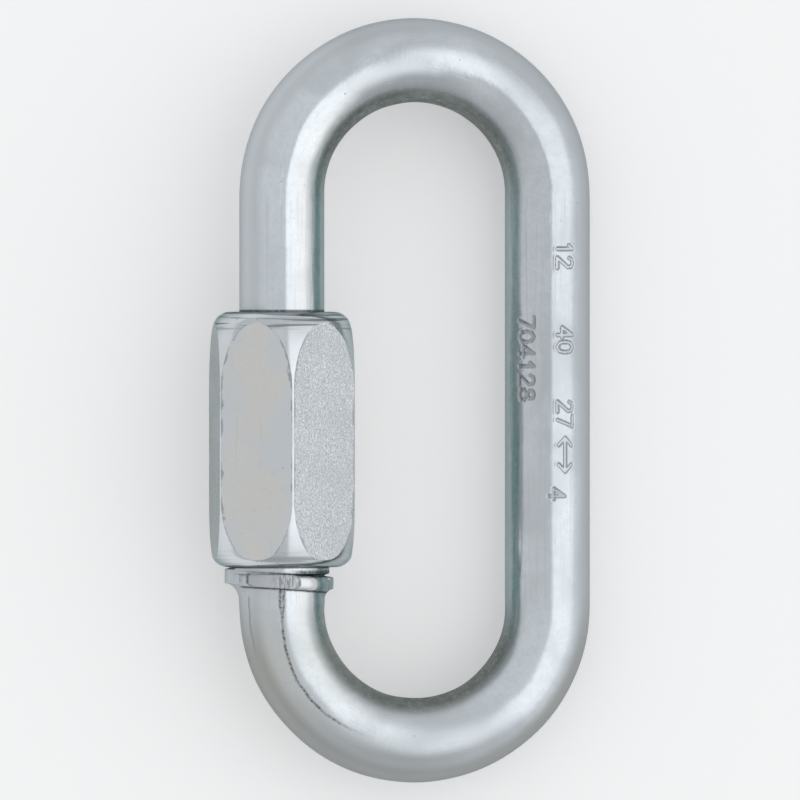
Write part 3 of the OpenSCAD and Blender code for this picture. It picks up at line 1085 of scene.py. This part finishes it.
# Oily threads, with rings that the tool left about their axis
threadFinish = {
    "limb": (0.48, 0.54, 0.55),
    "flank": (0.54, 0.565, 0.575, 1),
    "grime": (0.19, 0.19, 0.175, 1),
    "oil": {"scale": 700, "detail": 4},
    "oiled": (0.5, 0.78, (0, 0.4)),
    "oilRough": (0.3, 0.7, (0.22, 0.42)),
    "rolled": {"scale": 1, "detail": 3, "stretch": (300, 5200, 300)},
    "rings": {"Scale": 1100, "Distortion": 1.2, "Detail Scale": 0.4},      # about 0.3 mm apart
    "ringed": (0.3, 1.0, (0, 0.12)),
    "bumps": {"rolled": 0.006, "oil": 0.004, "rings": 0.004},
}


def threadZincFinish():
    f = threadFinish
    material, tree, shader = newMetal("threadZinc", f["limb"])
    place = addNode(tree, "TexCoord").outputs["Object"]
    rolled = cloud(tree, place, **f["rolled"])
    oil = cloud(tree, place, **f["oil"])
    legAxis = layDown @ Vector((-bar["legX"], 0, 0))
    fromAxis = addNode(tree, "Mapping", {"Vector": place, "Location": -legAxis}).outputs[0]
    rings = addNode(tree, "TexWave", {"Vector": fromAxis, **f["rings"]}, wave_type="RINGS",
                    rings_direction="Y").outputs["Fac"]
    colour = over(tree, spread(tree, oil, *f["oiled"]), f["flank"], f["grime"])
    colour = over(tree, spread(tree, rings, *f["ringed"]), colour, f["grime"])
    rough = spread(tree, oil, *f["oilRough"])
    dress(tree, shader, colour, rough, {"rolled": rolled, "oil": oil, "rings": rings}, f["bumps"])
    return material


# Turned ends of the sleeve, and the arcs between its flats
turnedFinish = {
    "limb": (0.46, 0.53, 0.54),
    "bright": (0.675, 0.71, 0.74, 1),
    "dull": (0.56, 0.595, 0.615, 1),
    "clouds": {"scale": 170, "detail": 3},
    "cloudDull": (0.36, 0.7, (0, 0.8)),
    "score": (0.22, 0.25, 0.26, 1),
    "scores": {"scale": 1, "detail": 2, "stretch": (100, 3600, 100)},
    "scored": (0.515, 0.59),
    "scoreShare": 0.9,
    "scoreRough": 0.1,
    "scoreDepth": 0.6,
    "pit": (0.28, 0.29, 0.30, 1),
    "pits": (1000, 0.13),
    "pitted": (0.5, 0.62),
    "crumbs": {"scale": 1500, "detail": 4},
    "burred": (0.34, 0.54),
    "burrShare": 0.8,
    # grease and painted shadow round the sleeve's ends
    "grime": (0.17, 0.19, 0.195, 1),
    "smear": {"scale": 420, "detail": 2},
    "smeared": (0.3, 0.7, (0.4, 0.9)),
    "grimeRough": 0.25,
    "rings": {"scale": 1, "detail": 3, "stretch": (45, 4200, 45)},
    "ringRough": (0.35, 0.7, (0.11, 0.19)),
    "bumps": {"clouds": 0.012, "rings": 0.003, "sunk": 0.016},
}


def turnedZincFinish():
    f = turnedFinish
    material, tree, shader = newMetal("turnedZinc", f["limb"])
    place = addNode(tree, "TexCoord").outputs["Object"]
    rings = cloud(tree, place, **f["rings"])
    clouds = cloud(tree, place, **f["clouds"])
    scores = spread(tree, cloud(tree, place, **f["scores"]), *f["scored"])
    scores = times(tree, scores, mark(tree, "rimTurning"))
    pitted = times(tree, pits(tree, place, *f["pits"]), spread(tree, clouds, *f["pitted"]))
    crumbs = spread(tree, cloud(tree, place, **f["crumbs"]), *f["burred"])
    burr = times(tree, mark(tree, "flatEdge"), crumbs)
    smear = spread(tree, cloud(tree, place, **f["smear"]), *f["smeared"])
    # grease and painted shadow round the sleeve's ends, in smears
    greasy = times(tree, mark(tree, "grime"), smear)
    colour = over(tree, spread(tree, clouds, *f["cloudDull"]), f["bright"], f["dull"])
    colour = over(tree, times(tree, scores, f["scoreShare"]), colour, f["score"])
    colour = over(tree, pitted, colour, f["pit"])
    colour = over(tree, times(tree, burr, f["burrShare"]), colour, f["score"])
    colour = over(tree, greasy, colour, f["grime"])
    rough = plus(tree, spread(tree, rings, *f["ringRough"]), scores, f["scoreRough"])
    rough = plus(tree, rough, greasy, f["grimeRough"])
    sunk = plus(tree, times(tree, pitted, -1.0), scores, -f["scoreDepth"])
    dress(tree, shader, colour, rough, {"clouds": clouds, "rings": rings, "sunk": sunk}, f["bumps"])
    return material


# The milling cutter tore the flats' edges a little
flatEdges = {
    "tears": {"scale": 520, "detail": 5},
    "tear": 0.34,               # of half the flat's width, from the deepest tear to the highest burr
    "burrFrom": (0.95, 1.0),
}


def tornEdge(tree, place):
    e = flatEdges
    torn = plus(tree, mark(tree, "acrossFlat"), wander(tree, place, e["tears"]), e["tear"])
    return spread(tree, torn, *e["burrFrom"])


# Four of the sleeve's flats, warm grey with bluish edges
satinFinish = {
    "limb": (0.48, 0.54, 0.55),
    "warm": (0.69, 0.69, 0.67, 1),
    "cool": (0.65, 0.686, 0.722, 1),
    "dull": (0.55, 0.57, 0.58, 1),
    "patches": {"scale": 150, "detail": 3, "warp": 0.8},
    "coolEdges": 0.30,
    "cooled": (0.52, 0.9),
    "flecks": {"scale": 900, "detail": 3},
    "fleckDull": (0.58, 0.8, (0, 0.35)),
    "scratches": {"scale": 1, "detail": 2, "stretch": (2600, 130, 800), "turn": 17},
    "scratched": (0.66, 0.73),
    "scratchShare": 0.35,
    "scratchDepth": 0.25,
    "pit": (0.33, 0.33, 0.32, 1),
    "pits": (1100, 0.12),
    "pitted": (0.42, 0.6),
    "burr": (0.26, 0.285, 0.29, 1),
    "burred": (0.22, 0.5),
    "burrShare": 0.7,
    "fine": {"scale": 3000, "detail": 4},
    "patchRough": (0.35, 0.68, (0.26, 0.35)),
    "fineRough": (0.4, 0.7, (0.0, 0.06)),
    "bumps": {"patches": 0.02, "fine": 0.005, "sunk": 0.022},
}


def satinFlatFinish():
    f = satinFinish
    material, tree, shader = newMetal("satinFlat", f["limb"])
    place = addNode(tree, "TexCoord").outputs["Object"]
    patches = cloud(tree, place, **f["patches"])
    fine = cloud(tree, place, **f["fine"])
    flecks = cloud(tree, place, **f["flecks"])
    pitted = times(tree, pits(tree, place, *f["pits"]), spread(tree, flecks, *f["pitted"]))
    scratch = spread(tree, cloud(tree, place, **f["scratches"]), *f["scratched"])
    burr = times(tree, tornEdge(tree, place), spread(tree, flecks, *f["burred"]))
    bluish = plus(tree, patches, mark(tree, "acrossFlat"), f["coolEdges"])
    colour = over(tree, spread(tree, bluish, *f["cooled"]), f["warm"], f["cool"])
    colour = over(tree, spread(tree, flecks, *f["fleckDull"]), colour, f["dull"])
    colour = over(tree, times(tree, scratch, f["scratchShare"]), colour, f["dull"])
    colour = over(tree, pitted, colour, f["pit"])
    colour = over(tree, times(tree, burr, f["burrShare"]), colour, f["burr"])
    rough = spread(tree, patches, *f["patchRough"])
    rough = maths(tree, "ADD", rough, spread(tree, fine, *f["fineRough"]))
    sunk = plus(tree, times(tree, pitted, -1.0), scratch, -f["scratchDepth"])
    dress(tree, shader, colour, rough, {"patches": patches, "fine": fine, "sunk": sunk}, f["bumps"])
    return material


# The other two flats, coarse, with painted glints
grainFinish = {
    "limb": (0.48, 0.54, 0.55),
    "light": (0.70, 0.725, 0.75, 1),
    "dark": (0.475, 0.50, 0.53, 1),
    "grain": {"scale": 4800, "detail": 2},
    "grainLight": (0.34, 0.68),
    "patches": {"scale": 220, "detail": 3},
    "patchDark": (0.4, 0.75, (0, 0.4)),
    "pit": (0.34, 0.36, 0.38, 1),
    "pits": (1500, 0.16),
    "pitShare": 0.5,
    # painted glints: bright spots in the colour
    "glint": (0.93, 0.94, 0.955, 1),
    "glints": (2500, 0.3),
    "glintShare": 0.75,
    "burr": (0.30, 0.33, 0.335, 1),
    "burred": (0.34, 0.54),
    "burrShare": 0.85,
    "fine": {"scale": 7000, "detail": 2},
    "fineRough": (0.3, 0.7, (0.24, 0.38)),
    "bumps": {"grain": 0.042, "fine": 0.006, "sunk": 0.015},
}


def grainFlatFinish():
    f = grainFinish
    material, tree, shader = newMetal("grainFlat", f["limb"])
    place = addNode(tree, "TexCoord").outputs["Object"]
    grain = cloud(tree, place, **f["grain"])
    fine = cloud(tree, place, **f["fine"])
    patches = cloud(tree, place, **f["patches"])
    pitted = pits(tree, place, *f["pits"])
    glints = pits(tree, place, *f["glints"])
    burr = times(tree, tornEdge(tree, place), spread(tree, grain, *f["burred"]))
    colour = over(tree, spread(tree, grain, *f["grainLight"]), f["dark"], f["light"])
    colour = over(tree, spread(tree, patches, *f["patchDark"]), colour, f["dark"])
    colour = over(tree, times(tree, pitted, f["pitShare"]), colour, f["pit"])
    # painted glints
    colour = over(tree, times(tree, glints, f["glintShare"]), colour, f["glint"])
    colour = over(tree, times(tree, burr, f["burrShare"]), colour, f["burr"])
    rough = spread(tree, fine, *f["fineRough"])
    heights = {"grain": grain, "fine": fine, "sunk": times(tree, pitted, -1.0)}
    dress(tree, shader, colour, rough, heights, f["bumps"])
    return material


# Studio: a pale floor, a dim even room and one large soft window on the right
studio = {
    "room": (0.46, 0.75),       # light from the collar's end, and from everywhere else
    "roomTurn": (-1.15, -0.2),  # where it rises between the two, as a slope along Y
    "horizon": (0.52, 0.70),    # the same two just above the floor
    "horizonRise": (0.5, 0.02),
    "window": 1.28,
    "windowFrom": (9.0, 14.0),  # degrees from straight up, towards the bare leg
    "windowTo": (92.0, 60.0),
    "windowFrame": (4.5, 7.5),  # a slightly darker strip beside the window
    "frameShade": 0.07,
    "windowTall": (50.0, 15.0),
    "lightColour": (0.98, 0.99, 1.0, 1),
    "floorSize": 12.0,
    "floorDrop": 0.02,          # millimetres under the link
    "floorColour": (0.8, 0.8, 0.8, 1),
    "floorLift": 0.24,
    "cameraFar": 2.0,
    "sensor": 36,
    "shot": 0.0941,             # width of the picture at the link, metres
    "shotMiddle": (0.00006, 0.00003),
}


def studioWorld():
    s = studio
    world = bpy.data.worlds.new("studio")
    bpy.context.scene.world = world
    world.use_nodes = True
    tree = world.node_tree
    background = tree.nodes["Background"]
    place = addNode(tree, "TexCoord").outputs["Generated"]
    split = addNode(tree, "SeparateXYZ", {0: place}).outputs
    sideways = maths(tree, "ARCTAN2", split["X"], split["Z"])
    along = maths(tree, "ABSOLUTE", maths(tree, "ARCSINE", split["Y"]))

    def shine(turn, name):
        return spread(tree, turn, *[radians(d) for d in s[name]])

    fromSide = shine(sideways, "windowFrom")
    window = times(tree, fromSide, shine(sideways, "windowTo"), shine(along, "windowTall"))
    room = spread(tree, split["Y"], *s["roomTurn"], s["room"])
    low = spread(tree, split["Z"], *s["horizonRise"])
    horizon = spread(tree, split["Y"], *s["roomTurn"], s["horizon"])
    room = plus(tree, room, low, maths(tree, "SUBTRACT", horizon, room))
    besides = shine(sideways, "windowFrame")
    room = plus(tree, room, maths(tree, "SUBTRACT", fromSide, besides), s["frameShade"])
    strength = plus(tree, room, window, maths(tree, "SUBTRACT", s["window"], room))
    tree.links.new(strength, background.inputs["Strength"])
    background.inputs["Color"].default_value = s["lightColour"]


def paleFloor():
    s = studio
    bm = bmesh.new()
    bmesh.ops.create_grid(bm, x_segments=1, y_segments=1, size=s["floorSize"] / 2)
    bmesh.ops.translate(bm, vec=(0, 0, -s["floorDrop"] * mm), verts=bm.verts)
    mesh = bpy.data.meshes.new("floor")
    bm.to_mesh(mesh)
    bm.free()
    floorPiece = bpy.data.objects.new("floor", mesh)
    bpy.context.scene.collection.objects.link(floorPiece)
    material = bpy.data.materials.new("paleFloor")
    material.use_nodes = True
    tree = material.node_tree
    shader = tree.nodes["Principled BSDF"]
    shader.inputs["Base Color"].default_value = s["floorColour"]
    shader.inputs["Roughness"].default_value = 1
    shader.inputs["Specular IOR Level"].default_value = 0
    ray = addNode(tree, "LightPath").outputs
    seen = maths(tree, "MAXIMUM", ray["Is Camera Ray"], ray["Is Glossy Ray"])
    seen = maths(tree, "MAXIMUM", seen, ray["Is Transmission Ray"])
    shader.inputs["Emission Color"].default_value = (1, 1, 1, 1)
    tree.links.new(times(tree, seen, s["floorLift"]), shader.inputs["Emission Strength"])
    mesh.materials.append(material)


def lookDown():
    s = studio
    data = bpy.data.cameras.new("camera")
    camera = bpy.data.objects.new("camera", data)
    bpy.context.scene.collection.objects.link(camera)
    camera.location = (*s["shotMiddle"], s["cameraFar"] + eyeMiddle.z)
    data.sensor_width = s["sensor"]
    data.lens = data.sensor_width * s["cameraFar"] / s["shot"]
    bpy.context.scene.camera = camera


threadZinc = threadZincFinish()
linkBar = makeLink([barZincFinish(), threadZinc])
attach(linkBar, "link")
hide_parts("link_body")
sleeveNut = makeSleeve([turnedZincFinish(), satinFlatFinish(), grainFlatFinish(), threadZinc])
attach(sleeveNut, "sleeve")
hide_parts("sleeve_nut")

studioWorld()
paleFloor()
lookDown()
bpy.context.scene.view_settings.view_transform = "Standard"
print("studio set")
